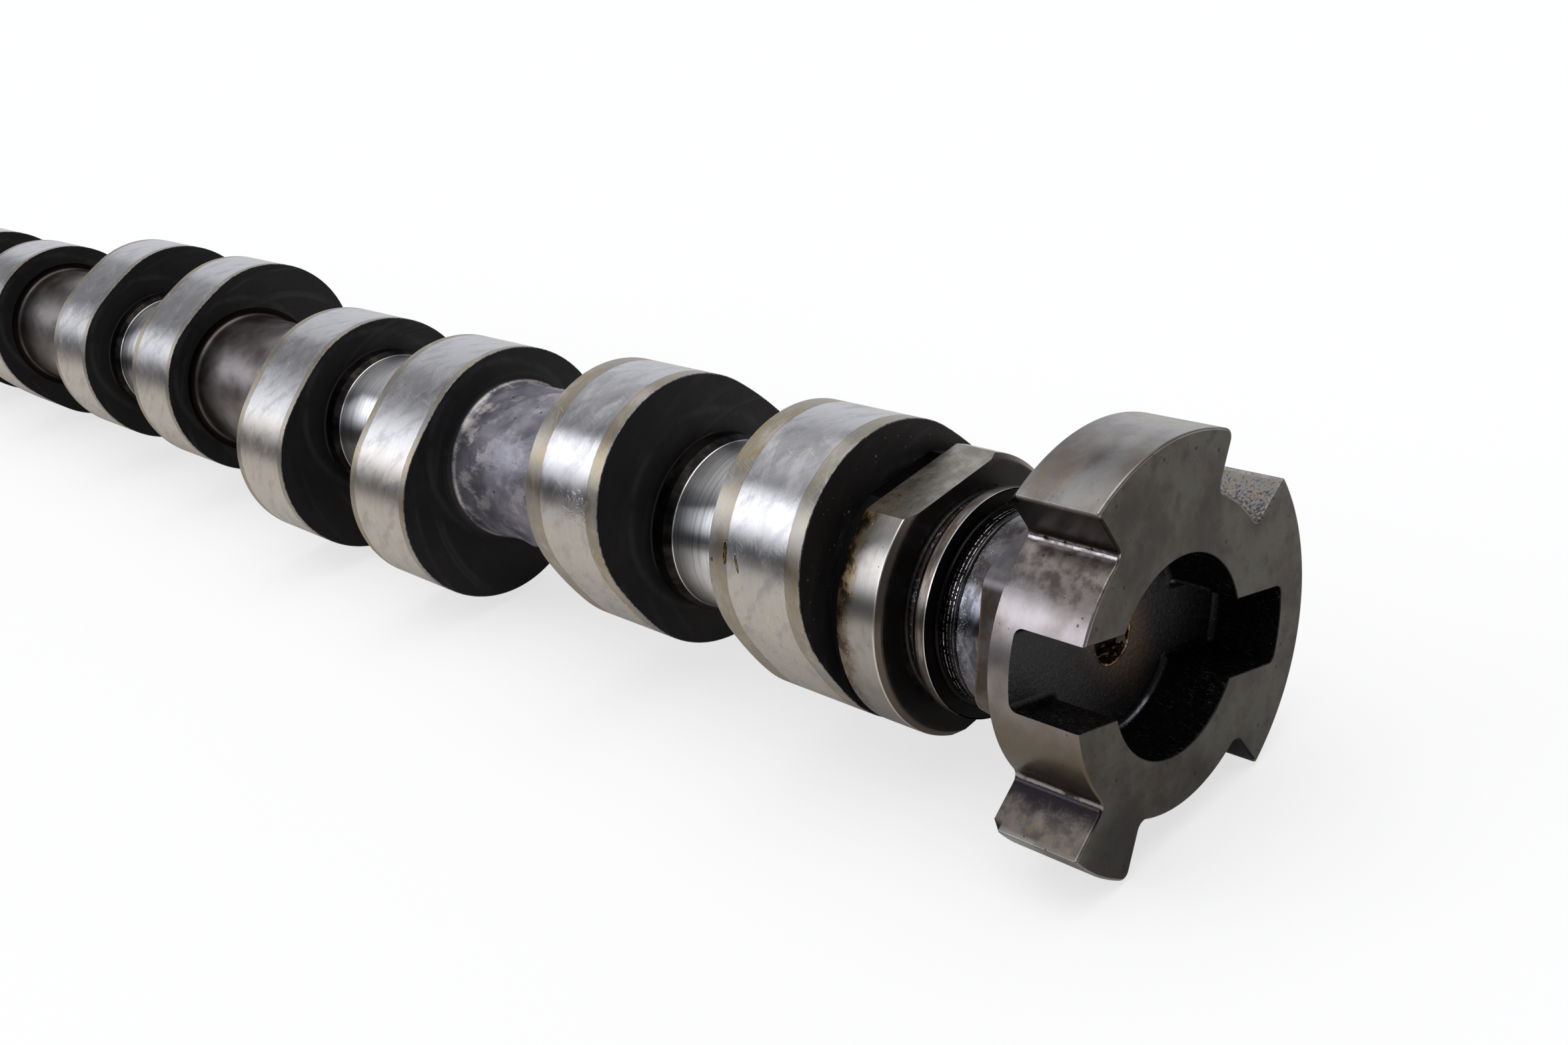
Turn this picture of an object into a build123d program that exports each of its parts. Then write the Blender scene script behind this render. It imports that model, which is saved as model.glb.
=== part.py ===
from build123d import *
import math
import os

# Camshaft of a four-cylinder engine with two cams to each cylinder, machined from one casting.
# X is the shaft's axis and +Z is up. The origin is the centre of the flange's front face, and the shaft
# runs from there towards -X. Lengths are in millimetres and angles in degrees.
# Angles round the shaft are counted from the cam noses of the first cylinder, from +Y towards +Z.

# How the shaft lies on a floor: where the first cylinder's noses point, from +Y towards +Z
lie_angle = 125.0

# Cams, each a base circle, two flank arcs and a nose arc
cylinder_pitch = 88.0
cam_pitch = 38.5
cam_width = 16.0
base_circle_radius = 18.1
nose_radius = 17.3
cam_lift = 5.8
flank_radius = 56.0
nose_angles = (0.0, 90.0, -90.0, 180.0)

# Bearing journals between the two cams of a cylinder, with a hub against each cam
journal_radius = 12.0
hub_radius = 12.7
hub_length = 2.1
hub_taper = 1.35

# Rough cast shaft between the cylinders, flared at the cams
cast_radius = 12.6
cast_flare = 1.6

# Recess and wrench collar in front of the first cam
flange_to_cams = 38.1
recess_radius = 16.8
recess_length = 2.0
collar_radius = 18.0
collar_length = 6.9
collar_chamfer = 0.8
flat_distance = 15.8
flat_angle = -30.4

# Oil groove and ring
groove_radius = 13.2
groove_length = 1.3
groove_rounding = 0.4
ring_radius = 14.5
ring_back_slope = 0.9
ring_length = 1.8
ring_back_rounding = 0.9
ring_front_break = 0.15

# Neck
neck_radius = 12.4
neck_length = 9.8
neck_rounding = 0.5

# Six-sided block behind the flange: where each pair of opposite flats faces, and how far from the axis it is
block_angles = (-21.0, 38.5, 98.5)
block_distances = (16.1, 16.7, 13.9)
block_corner_rounding = 3.0

# Flange, and its vanes as the angles they start and end at, with the tips that are rounded
flange_thickness = 12.0
flange_root_radius = 18.9
vane_radius = 26.0
vane_angles = ((-66.0, -8.2), (-183.7, -97.2), (89.0, 114.5))
rounded_tip_angles = (-66.0, 114.5)
vane_tip_rounding = 1.2
vane_root_rounding = 1.2
vane_back_chamfer = 1.2
flange_edge_rounding = 0.3

# Drive slot and round pocket, sunk to one depth in the flange's front face
slot_angle = -141.4
slot_width = 9.6
slot_reach = 21.0
slot_end_rounding = 1.1
pocket_radius = 12.0
pocket_depth = 9.1
pocket_floor_rounding = 1.0
centre_hole_radius = 3.2
centre_hole_depth = 14.0

# Drive end
end_cast_length = 12.0
end_journal_radius = 15.0
end_journal_length = 24.0
end_journal_chamfer = 0.8
drive_nose_radius = 12.0
drive_nose_length = 20.0
drive_nose_chamfer = 1.2
thread_radius = 5.1
thread_depth = 28.0
thread_countersink = 1.0
drill_point_angle = 118.0

# Stations along the shaft
collar_end = -flange_to_cams + recess_length + collar_length
ring_start = collar_end + groove_length
ring_end = ring_start + ring_back_slope + ring_length
neck_end = ring_end + neck_length
last_pair = -flange_to_cams - (len(nose_angles) - 1) * cylinder_pitch
cams_end = last_pair - cam_pitch - cam_width
end_journal_start = cams_end - end_cast_length
drive_nose_start = end_journal_start - end_journal_length
shaft_end = drive_nose_start - drive_nose_length


def direction(angle):
    """The unit vector at an angle in a sketch."""
    return Vector(math.cos(math.radians(angle)), math.sin(math.radians(angle)))


def along(sketch, start, end):
    """Extrudes a sketch of the plane across the shaft from one station to a higher one."""
    return Pos(start, 0, 0) * extrude(Plane.YZ * sketch, end - start)


def turned(corners):
    """Turns an outline round the shaft's axis. A corner is a station, a radius and its rounding."""
    outline = make_face(Polyline([(station, radius) for station, radius, _ in corners], close=True))
    for station, radius, rounding in corners:
        if rounding:
            corner = outline.vertices().sort_by_distance((station, radius, 0))[0]
            outline = fillet(corner, rounding)
    return revolve(outline, Axis.X)


def drilled(radius, start, depth):
    """A blind hole's solid from a mouth on the axis, along +X or -X by the sign of its depth."""
    point = math.copysign(radius / math.tan(math.radians(drill_point_angle / 2)), depth)
    end = start + depth
    return turned([(start, 0, 0), (start, radius, 0), (end, radius, 0), (end + point, 0, 0)])


def cam_outline():
    """The cam seen along the shaft, its nose towards +X of the sketch."""
    nose_centre = base_circle_radius + cam_lift - nose_radius
    flank_to_base = flank_radius - base_circle_radius
    flank_to_nose = flank_radius - nose_radius
    flank_x = (flank_to_base**2 - flank_to_nose**2 + nose_centre**2) / (2 * nose_centre)
    flank = Vector(flank_x, -math.sqrt(flank_to_base**2 - flank_x**2))
    base_touch = flank.normalized() * -base_circle_radius
    to_nose = (Vector(nose_centre, 0) - flank).normalized()
    nose_touch = flank + to_nose * flank_radius
    flank_middle = flank + (to_nose - flank.normalized()).normalized() * flank_radius
    upper = ThreePointArc(base_touch, flank_middle, nose_touch)
    nose = ThreePointArc(nose_touch, (base_circle_radius + cam_lift, 0), (nose_touch.X, -nose_touch.Y))
    base = ThreePointArc((base_touch.X, -base_touch.Y), (-base_circle_radius, 0), base_touch)
    return make_face([upper, nose, mirror(upper, about=Plane.XZ), base])


def bearing(start, end):
    """A ground journal between two hubs."""
    return turned([
        (start, 0, 0),
        (start, hub_radius, 0),
        (start + hub_length, hub_radius, 0),
        (start + hub_length + hub_taper, journal_radius, 0),
        (end - hub_length - hub_taper, journal_radius, 0),
        (end - hub_length, hub_radius, 0),
        (end, hub_radius, 0),
        (end, 0, 0),
    ])


def cast_shaft(start, end):
    """The rough shaft from one cam to the next, with a flare at each."""
    shaft = along(Circle(cast_radius), start, end)
    for station, side in ((start, 1), (end, -1)):
        reach = station + side * cast_flare
        flare = make_face([
            RadiusArc((reach, cast_radius), (station, cast_radius + cast_flare), side * cast_flare),
            Line((station, cast_radius + cast_flare), (station, cast_radius)),
            Line((station, cast_radius), (reach, cast_radius)),
        ])
        shaft += revolve(flare, Axis.X)
    return shaft


def cylinder_group(front, nose_angle):
    """One cylinder's two cams and the bearing between them."""
    outline = Rot(0, 0, nose_angle) * cam_outline()
    second_front = front - cam_pitch
    group = bearing(second_front, front - cam_width)
    group += along(outline, front - cam_width, front)
    group += along(outline, second_front - cam_width, second_front)
    return group


def collar_and_neck():
    """Recess, wrench collar, oil groove, ring and neck."""
    collar_start = -flange_to_cams + recess_length
    front = turned([
        (-flange_to_cams, 0, 0),
        (-flange_to_cams, recess_radius, 0),
        (collar_start, recess_radius, 0),
        (collar_start, collar_radius, 0),
        (collar_end - collar_chamfer, collar_radius, 0),
        (collar_end, collar_radius - collar_chamfer, 0),
        (collar_end, groove_radius, groove_rounding),
        (ring_start, groove_radius, groove_rounding),
        (ring_start + ring_back_slope, ring_radius, ring_back_rounding),
        (ring_end, ring_radius, ring_front_break),
        (ring_end, neck_radius, neck_rounding),
        (neck_end, neck_radius, 0),
        (neck_end, 0, 0),
    ])
    beyond_flat = 2 * collar_radius
    for turn in (0, 180):
        place = Rot(0, 0, flat_angle + turn) * Pos(flat_distance + beyond_flat / 2, 0)
        flat = place * Rectangle(beyond_flat, beyond_flat)
        front -= along(flat, -flange_to_cams, collar_end)
    return front


def block():
    """The six-sided block behind the flange."""
    outline = Circle(vane_radius)
    for angle, distance in zip(block_angles, block_distances):
        outline &= Rot(0, 0, angle) * Rectangle(2 * distance, 2 * vane_radius)
    outline = fillet(outline.vertices(), block_corner_rounding)
    return along(outline, neck_end, -flange_thickness)


def flange_outline():
    """The flange seen along the shaft: a disc with its vanes, rounded where they were milled."""
    outline = Circle(flange_root_radius)
    for first, last in vane_angles:
        first_tip = direction(first) * vane_radius
        last_tip = direction(last) * vane_radius
        rim = ThreePointArc(first_tip, direction((first + last) / 2) * vane_radius, last_tip)
        outline += make_face([Line((0, 0), first_tip), rim, Line(last_tip, (0, 0))])
    for angle in rounded_tip_angles:
        tip = outline.vertices().sort_by_distance(direction(angle) * vane_radius)[0]
        outline = fillet(tip, vane_tip_rounding)
    for angle in [angle for vane in vane_angles for angle in vane]:
        root = outline.vertices().sort_by_distance(direction(angle) * flange_root_radius)[0]
        outline = fillet(root, vane_root_rounding)
    return outline


def drive_recess():
    """The slot and the round pocket as one solid, from their floor to the flange's front face."""
    slot = Rectangle(2 * vane_radius, slot_width) & Circle(slot_reach)
    slot = fillet(slot.vertices(), slot_end_rounding)
    recess = along(Rot(0, 0, slot_angle) * slot + Circle(pocket_radius), -pocket_depth, 0)
    floor = recess.faces().sort_by(Axis.X)[0]
    return fillet(floor.edges(), pocket_floor_rounding)


def flange():
    """The flange with its drive recess and centre hole."""
    disc = along(flange_outline(), -flange_thickness, 0)
    disc = fillet(disc.faces().sort_by(Axis.X)[-1].edges(), flange_edge_rounding)
    disc &= turned([
        (-flange_thickness, 0, 0),
        (-flange_thickness, vane_radius - vane_back_chamfer, 0),
        (-flange_thickness + vane_back_chamfer, vane_radius, 0),
        (0, vane_radius, 0),
        (0, 0, 0),
    ])
    return disc - drive_recess() - drilled(centre_hole_radius, -pocket_depth, -centre_hole_depth)


def drive_end():
    """Cast shaft, end journal and drive nose with its threaded hole."""
    end = turned([
        (shaft_end, 0, 0),
        (shaft_end, drive_nose_radius - drive_nose_chamfer, 0),
        (shaft_end + drive_nose_chamfer, drive_nose_radius, 0),
        (drive_nose_start, drive_nose_radius, 0),
        (drive_nose_start, end_journal_radius - end_journal_chamfer, 0),
        (drive_nose_start + end_journal_chamfer, end_journal_radius, 0),
        (end_journal_start - end_journal_chamfer, end_journal_radius, 0),
        (end_journal_start, end_journal_radius - end_journal_chamfer, 0),
        (end_journal_start, 0, 0),
    ])
    end += cast_shaft(end_journal_start, cams_end)
    mouth = turned([
        (shaft_end, 0, 0),
        (shaft_end, thread_radius + thread_countersink, 0),
        (shaft_end + thread_countersink, thread_radius, 0),
        (shaft_end + thread_countersink, 0, 0),
    ])
    return end - mouth - drilled(thread_radius, shaft_end, thread_depth)


def camshaft():
    """The whole shaft as one solid, lying as it rests on a floor."""
    shaft = drive_end()
    for cylinder, nose_angle in enumerate(nose_angles):
        front = -flange_to_cams - cylinder * cylinder_pitch
        shaft += cylinder_group(front, nose_angle)
        if cylinder:
            shaft += cast_shaft(front, front + cylinder_pitch - cam_pitch - cam_width)
    shaft += collar_and_neck()
    shaft += block()
    shaft += flange()
    return Rot(lie_angle, 0, 0) * shaft


os.makedirs("parts", exist_ok=True)
export_step(camshaft(), "parts/camshaft.step")
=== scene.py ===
import math

import bpy
import numpy as np
from mathutils import Matrix, Vector


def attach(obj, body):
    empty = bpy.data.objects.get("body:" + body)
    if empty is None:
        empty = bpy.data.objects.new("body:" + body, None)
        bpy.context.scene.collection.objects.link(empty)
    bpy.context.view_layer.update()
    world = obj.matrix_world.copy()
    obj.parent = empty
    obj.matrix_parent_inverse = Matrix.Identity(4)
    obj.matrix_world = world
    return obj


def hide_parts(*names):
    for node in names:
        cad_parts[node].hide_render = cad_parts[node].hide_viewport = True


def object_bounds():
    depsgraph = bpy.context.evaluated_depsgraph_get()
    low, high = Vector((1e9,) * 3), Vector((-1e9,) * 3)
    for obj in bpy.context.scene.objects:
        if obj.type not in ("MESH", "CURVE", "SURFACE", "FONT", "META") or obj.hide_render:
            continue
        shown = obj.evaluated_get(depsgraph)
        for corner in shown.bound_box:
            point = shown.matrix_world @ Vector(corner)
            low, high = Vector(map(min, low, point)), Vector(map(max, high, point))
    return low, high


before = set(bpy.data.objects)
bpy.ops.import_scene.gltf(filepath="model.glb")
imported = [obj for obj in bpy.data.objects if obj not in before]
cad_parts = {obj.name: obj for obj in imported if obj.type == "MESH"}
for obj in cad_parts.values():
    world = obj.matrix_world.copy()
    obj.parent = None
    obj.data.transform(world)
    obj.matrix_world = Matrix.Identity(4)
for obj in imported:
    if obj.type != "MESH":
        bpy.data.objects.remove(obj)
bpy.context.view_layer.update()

MM = 0.001

# Sizes of the shaft in millimetres and degrees; stations are counted from the flange's front face
LIE = 125.0
CYLINDER_PITCH, CAM_PITCH, CAM_WIDTH = 88.0, 38.5, 16.0
BASE_R, NOSE_R, LIFT, FLANK_R = 18.1, 17.3, 5.8, 56.0
NOSE_ANGLES = (0.0, 90.0, -90.0, 180.0)
CAMS_FRONT = -38.1
CAM_EDGE = 0.12
JOURNAL_R, HUB_R, HUB_LENGTH, HUB_TAPER = 12.0, 12.7, 2.1, 1.35
CAST_R, CAST_FLARE, LUMP_DEPTH = 12.6, 1.6, 0.22
RECESS_R = 16.8
COLLAR_R, COLLAR_BACK, COLLAR_FRONT, COLLAR_CHAMFER = 18.0, -36.1, -29.2, 0.8
FLAT_DISTANCE, FLAT_ANGLE = 15.8, -30.4
GROOVE_R, RING_R, NECK_R = 13.2, 14.5, 12.4
RING_BACK, RING_SLOPE, RING_FRONT, NECK_FRONT = -27.9, 0.9, -25.2, -15.4
BLOCK_FLATS, BLOCK_ROUNDING = ((-21.0, 16.1), (38.5, 16.7), (98.5, 13.9)), 3.0
FLANGE_BACK, ROOT_R, VANE_R = -12.0, 18.9, 26.0
VANES = ((-66.0, 1.2, -8.2, 0.25), (-183.7, 0.25, -97.2, 0.25), (89.0, 0.25, 114.5, 1.2))
ROOT_ROUNDING, VANE_BACK_CHAMFER, FRONT_ROUNDING = 1.2, 1.2, 0.3
SLOT_ANGLE, SLOT_HALF, SLOT_REACH, SLOT_ROUNDING = -141.4, 4.8, 21.0, 1.1
FLANGE_TURN, WINDOW_GAP = LIE + SLOT_ANGLE, math.degrees(math.asin(SLOT_HALF / ROOT_R))
POCKET_R, FLOOR, FLOOR_ROUNDING, RECESS_EDGE = 12.0, -9.1, 1.0, 0.15
HOLE_R, HOLE_DEPTH, DRILL_ANGLE = 3.2, 14.0, 118
CAMS_BACK = CAMS_FRONT - 3 * CYLINDER_PITCH - CAM_PITCH - CAM_WIDTH
END_JOURNAL_R, END_NOSE_R, END_CAST, END_JOURNAL, END_NOSE = 15.0, 12.0, 12.0, 24.0, 20.0
THREAD_R, THREAD_PITCH, THREAD_DEPTH = 5.1, 1.75, 28.0

# Fineness of the mesh: points round the shaft, height of a row on the collar, and waves in the hammered skin
ROUND_STEPS, COLLAR_STEP, LUMP_WAVES = 240, 0.16, 26

# Marks: place along the shaft and round it, half their length and height, seed, slant and softness
OIL = (-51.1, -19.7, 0.42, 1.4, 7), (-49.0, -20.4, 0.26, 1.1, 8, 0.34)
OIL_CORE = (-51.1, -19.6, 0.2, 1.0, 7), (-49.0, -20.4, 0.13, 0.8, 8, 0.34)
BEAD, PITTED = (-53.5, -20.7, 0.25, 0.3, 9), (-81.0, -20.4, 3.6, 2.6, 10)
BROWN_BLOT, BLUE_BLOT = (-7.0, -5.2, 2.2, 3.0, 124, 0, 1.1), (-5.0, -3.0, 1.8, 2.6, 126, 0, 1.1)

# Radius at which places round the shaft are counted
ROUND_R = 18.0

# Centres of marks on faces across the shaft, and the radius of the arc on the cams
RINGS_AT, ARC_AT, SOOT_AT, CORNER_AT = (7.0, -4.0), (-1.9, 2.8), (-14.0, -18.5), (11.9, 1.7)
ARC_MARK_R = 14.5

# Room: levels, of which 1 is white
SKY_LEVEL, UPPER_LEVEL, BOX_LEVEL, BACKDROP_LEVEL, CEILING_LEVEL = 0.28, 0.36, 2.5, 0.62, 1.35
SKY_TINT, GLOOM_SHARE = (0.95, 0.97, 1.04), 0.65

# Patches of the room: bearing from and to, height from and to, and softness, in degrees
BOX, BACKDROP, GLOOM = (-160, -106, -90, 36, 2.5), (92, 172, -90, 33, 6.0), (-180, -80, -90, 8, 4.0)

# Heights in degrees between which the upper room, the ceiling and the box come in
UPPER_FADE, CEILING_FADE, BOX_FADE = (38, 47), (50, 64), (5, 25)
DEGREES = 180 / math.pi

# Floor: what it gives off to the camera, its size in metres, and where it darkens for the metal
FLOOR_GLOW, FLOOR_SIZE, FLOOR_FADE = 0.68, 6, (-260, -90)

# Camera: its directions and place were measured with the first nose turned to MEASURED_LIE
MEASURED_LIE = 162.0
RIGHT, DOWN, AHEAD = (0.6921, 0.6617, 0.2885), (0.2022, 0.2059, -0.9574), (-0.6929, 0.7209, 0.0087)
CAMERA_FROM_FIRST_CAM = (138.2, -171.4, 0.0)
LENS = 39.72

rng = np.random.default_rng(41)


# Mesh code
class Skin:
    """Strips of faces with normals of their own, gathered into one mesh."""

    def __init__(self):
        self.points, self.normals, self.faces, self.slots = [], [], [], []
        self.count = 0

    def loft(self, points, normals, slot, closed=True):
        """Quads between rows of points, turned so that they face along the normals."""
        points, normals = np.asarray(points, float), np.asarray(normals, float)
        rows, cols = points.shape[:2]
        index = np.arange(rows * cols).reshape(rows, cols)
        here = np.arange(cols if closed else cols - 1)
        there = (here + 1) % cols
        quads = np.stack([index[:-1, here], index[:-1, there], index[1:, there], index[1:, here]], -1)
        quads = quads.reshape(-1, 4)
        p, n = points.reshape(-1, 3), normals.reshape(-1, 3)
        facing = np.cross(p[quads[:, 2]] - p[quads[:, 0]], p[quads[:, 3]] - p[quads[:, 1]])
        if (facing * n[quads].mean(1)).sum() < 0:
            quads = quads[:, ::-1]
        self.add(p, n, (quads + self.count).tolist(), slot)

    def cap(self, ring, normal, slot):
        """One flat face that fills a closed ring."""
        ring = np.asarray(ring, float)
        order = np.arange(len(ring)) + self.count
        if np.cross(ring, np.roll(ring, -1, 0)).sum(0) @ np.asarray(normal) < 0:
            order = order[::-1]
        self.add(ring, np.tile(np.asarray(normal, float), (len(ring), 1)), [order.tolist()], slot)

    def add(self, points, normals, faces, slot):
        self.points.append(points)
        self.normals.append(normals)
        self.faces += faces
        self.slots += [slot] * len(faces)
        self.count += len(points)

    def build(self, name, materials):
        normals = np.concatenate(self.normals)
        normals /= np.linalg.norm(normals, axis=1, keepdims=True)
        mesh = bpy.data.meshes.new(name)
        mesh.from_pydata((np.concatenate(self.points) * MM).tolist(), [], self.faces)
        for material in materials:
            mesh.materials.append(material)
        mesh.polygons.foreach_set("material_index", self.slots)
        mesh.polygons.foreach_set("use_smooth", [True] * len(self.faces))
        mesh.update()
        mesh.normals_split_custom_set_from_vertices(normals.tolist())
        piece = bpy.data.objects.new(name, mesh)
        bpy.context.scene.collection.objects.link(piece)
        return piece


def unit(v):
    return v / np.linalg.norm(v)


def rounded(corners, steps=5):
    """Strips of station, radius and normal along a turned outline. A corner's third number rounds it."""
    spots = [np.array(c[:2], float) for c in corners]
    sizes = [c[2] if len(c) > 2 else 0.0 for c in corners]
    strips, run, trim = [], [], 0.0
    for i in range(len(spots) - 1):
        way = unit(spots[i + 1] - spots[i])
        normal = np.array([-way[1], way[0]])
        run.append((*(spots[i] + way * trim), *normal))
        trim = 0.0
        if i + 2 < len(spots) and sizes[i + 1]:
            after = unit(spots[i + 2] - spots[i + 1])
            turn = math.atan2(way[0] * after[1] - way[1] * after[0], way @ after)
            trim = sizes[i + 1] * math.tan(abs(turn) / 2)
            end = spots[i + 1] - way * trim
            side = math.copysign(sizes[i + 1], turn)
            centre = end + side * normal
            for k in range(steps):
                c, s = math.cos(turn * k / steps), math.sin(turn * k / steps)
                n = np.array([c * normal[0] - s * normal[1], s * normal[0] + c * normal[1]])
                run.append((*(centre - side * n), *n))
        else:
            run.append((*spots[i + 1], *normal))
            strips.append(np.array(run))
            run = []
    return strips


def around(x, r, angle):
    """Vectors from their share along the axis, their share away from it and their angle about it."""
    return np.stack(np.broadcast_arrays(x, r * np.cos(angle), r * np.sin(angle)), -1)


def turned(skin, corners, slot, count=ROUND_STEPS, steps=5):
    """Turns an outline about X, with the solid on its right as it is drawn."""
    angle = np.linspace(0, 2 * math.pi, count, endpoint=False)
    for strip in rounded(corners, steps):
        x, r, nx, nr = (column[:, None] for column in strip.T)
        skin.loft(around(x, r, angle), around(nx, nr, angle), slot)


def arc(radius, start, end, count, centre=(0.0, 0.0)):
    """Points of an arc with their outward normals; angles in degrees."""
    t = np.radians(np.linspace(start, end, count))
    normals = np.stack([np.cos(t), np.sin(t)], 1)
    return np.asarray(centre) + radius * normals, normals


def line(start, end, count=2):
    """Points of a straight side, with the normals on its right."""
    start, end = np.asarray(start, float), np.asarray(end, float)
    way = unit(end - start)
    points = start + np.linspace(0, 1, count)[:, None] * (end - start)
    return points, np.tile([way[1], -way[0]], (count, 1))


def polar(radius, angle):
    return radius * np.array([math.cos(math.radians(angle)), math.sin(math.radians(angle))])


def shorten(points, length):
    """A polyline without its last stretch."""
    steps = np.linalg.norm(np.diff(points, axis=0), axis=1)
    so_far = np.concatenate([[0], np.cumsum(steps)])
    spots = np.linspace(0, max(so_far[-1] - length, 1e-4), len(points))
    return np.stack([np.interp(spots, so_far, points[:, k]) for k in (0, 1)], 1)


def chained(parts, roundings, steps=5, closed=True):
    """Joins the sides of an outline and rounds the corners between them."""
    parts = [(p.copy(), n.copy()) for p, n in parts]
    joints = range(len(parts) if closed else len(parts) - 1)
    bends = {}
    for i in joints:
        j = (i + 1) % len(parts)
        n0, n1 = parts[i][1][-1], parts[j][1][0]
        turn = math.acos(max(-1.0, min(1.0, float(n0 @ n1))))
        if turn < 0.02 or not roundings[i]:
            continue
        trim = roundings[i] * math.tan(turn / 2)
        corner = parts[i][0][-1].copy()
        parts[i][0][:] = shorten(parts[i][0], trim)
        parts[j][0][:] = shorten(parts[j][0][::-1], trim)[::-1]
        w = math.cos(turn / 2)
        t = np.linspace(0, 1, steps + 1)[1:-1, None]
        weights = (1 - t) ** 2, 2 * t * (1 - t) * w, t**2
        ends = parts[i][0][-1], corner, parts[j][0][0]
        points = sum(a * b for a, b in zip(weights, ends)) / sum(weights)
        normals = np.array([unit(v) for v in (1 - t) * n0 + t * n1])
        bends[i] = points, normals
    points, normals = [], []
    for i, (p, n) in enumerate(parts):
        keep = slice(None) if i in bends or (not closed and i == len(parts) - 1) else slice(None, -1)
        points.append(p[keep])
        normals.append(n[keep])
        if i in bends:
            points.append(bends[i][0])
            normals.append(bends[i][1])
    return np.concatenate(points), np.concatenate(normals)


def spun(vectors, angle):
    t = math.radians(angle)
    return np.asarray(vectors) @ np.array([[math.cos(t), math.sin(t)], [-math.sin(t), math.cos(t)]])


def ring(outline, x, nx=0.0, nn=1.0, inset=0.0, angle=0.0):
    """A row of points of a prism: an outline at a station, moved inwards, with its normals tilted."""
    points, normals = outline
    flat = spun(points - normals * inset, angle)
    count = len(points)
    tilted = np.column_stack([np.full(count, nx), spun(normals * nn, angle)])
    return np.column_stack([np.full(count, x), flat]), tilted


def edge(size, steps=3):
    """Quarter turn from a side to its end face: inset, distance to the end, normal along and across."""
    t = np.linspace(0, math.pi / 2, steps + 1)
    return zip(size * (1 - np.cos(t)), size * (1 - np.sin(t)), np.sin(t), np.cos(t))


def loft(skin, rows, slot, closed=True):
    skin.loft([p for p, _ in rows], [n for _, n in rows], slot, closed)


# Cams
def recess_reach(angle):
    """How far out the recess in front of the first cam reaches, which is less at its two flats."""
    off = (angle - LIE - FLAT_ANGLE + 90) % 180 - 90
    return np.minimum(RECESS_R, FLAT_DISTANCE / np.cos(np.radians(off)))


def cam_outline():
    """Base circle, two flanks and nose, with the nose at angle zero."""
    nose_x = BASE_R + LIFT - NOSE_R
    to_base, to_nose = FLANK_R - BASE_R, FLANK_R - NOSE_R
    cx = (to_base**2 - to_nose**2 + nose_x**2) / (2 * nose_x)
    cy = -math.sqrt(to_base**2 - cx**2)
    nose_end = math.degrees(math.atan2(-cy, nose_x - cx))
    base_end = math.degrees(math.atan2(-cy, -cx))
    return chained([
        arc(NOSE_R, -nose_end, nose_end, 80, (nose_x, 0)),
        arc(FLANK_R, nose_end, base_end, 24, (cx, cy)),
        arc(BASE_R, base_end, 360 - base_end, 120),
        arc(FLANK_R, 360 - base_end, 360 - nose_end, 24, (cx, -cy)),
    ], (0, 0, 0, 0))


def add_cam(skin, front, angle, inner_front, inner_back):
    """A cam with a flat face on each side, down to what it meets there."""
    outline = cam_outline()
    sides = (front - CAM_WIDTH, -1, inner_back), (front, 1, inner_front)
    edges = [[ring(outline, station - gap * facing, along * facing, across, inset, angle)
              for inset, gap, along, across in edge(CAM_EDGE)] for station, facing, _ in sides]
    for rows in edges:
        loft(skin, rows, "edge")
    loft(skin, [rows[0] for rows in edges], "rim")
    for station, facing, inner in reversed(sides):
        outer = ring(outline, station, facing, 0.0, CAM_EDGE, angle)
        flat = outer[0][:, 1:]
        reach = recess_reach(np.degrees(np.arctan2(flat[:, 1], flat[:, 0]))) if inner == RECESS_R else inner
        inside = flat * (reach / np.linalg.norm(flat, axis=1))[:, None]
        loft(skin, [outer, (np.column_stack([outer[0][:, 0], inside]), outer[1])], "side")


def add_bearing(skin, back, front):
    taper = HUB_LENGTH + HUB_TAPER
    turned(skin, [
        (back, HUB_R), (back + HUB_LENGTH, HUB_R, 0.2), (back + taper, JOURNAL_R, 0.3),
        (front - taper, JOURNAL_R, 0.3), (front - HUB_LENGTH, HUB_R, 0.2), (front, HUB_R),
    ], "journal", steps=3)


def add_cast(skin, back, front, slot, lump=0.0):
    """The shaft between two cams, with a flare at each and hammered lumps where it is rough."""
    turn = np.linspace(0, math.pi / 2, 6)
    flare_x, flare_r = CAST_FLARE * (1 - np.sin(turn)), CAST_FLARE * (1 - np.cos(turn))
    middle = np.linspace(back + CAST_FLARE + 0.5, front - CAST_FLARE - 0.5, 58 if lump else 2)
    x = np.concatenate([back + flare_x[::-1], middle, front - flare_x])
    r = CAST_R + np.concatenate([flare_r[::-1], 0 * middle, flare_r])
    angle = np.linspace(0, 2 * math.pi, ROUND_STEPS, endpoint=False)
    radius = r[:, None] + lump * lumps(x, angle, min(x), max(x))
    slope_x = np.gradient(radius, x, axis=0)
    slope_t = (np.roll(radius, -1, 1) - np.roll(radius, 1, 1)) / (2 * (angle[1] - angle[0]))
    cos, sin = np.cos(angle), np.sin(angle)
    normals = np.stack([-slope_x, cos + slope_t / radius * sin, sin - slope_t / radius * cos], -1)
    skin.loft(around(x[:, None], radius, angle), normals, slot)


def lumps(x, angle, low, high):
    """Shallow dents of a hammered skin, periodic round the shaft, fading out at both ends."""
    total = np.zeros((len(x), len(angle)))
    for _ in range(LUMP_WAVES):
        waves, along, phase = rng.integers(1, 9), rng.uniform(0.05, 0.55), rng.uniform(0, 6.3)
        total += np.sin(waves * angle[None, :] + along * x[:, None] + phase) / LUMP_WAVES**0.5
    fade = np.clip(np.minimum(x - low, high - x) / 3.0, 0, 1)
    return -np.abs(total) * fade[:, None]


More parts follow.
